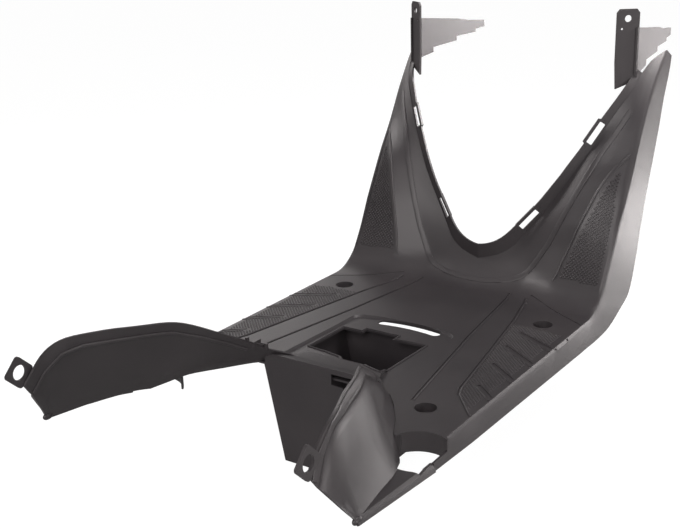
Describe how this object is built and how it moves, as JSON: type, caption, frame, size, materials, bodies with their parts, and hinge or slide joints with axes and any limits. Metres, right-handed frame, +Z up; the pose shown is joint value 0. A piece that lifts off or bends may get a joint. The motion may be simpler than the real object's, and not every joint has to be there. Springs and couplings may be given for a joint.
{
  "type": "scooter floorboard",
  "caption": "Moulded scooter floorboard with flat foot deck, two upright arms beside a U-shaped tunnel opening, battery well and rear side fairings.",
  "frame": {"origin": "on the deck's top face, on the middle line, 5 mm ahead of the line of the two front screws", "axes": "+X to the rider's right, +Y forward, +Z up"},
  "size_m": [0.432, 1.0312, 0.518],
  "materials": {
    "moulding": "satin dark grey with grip texture"
  },
  "bodies": {
    "root": {"floorboard": "moulding"}
  },
  "joints": []
}
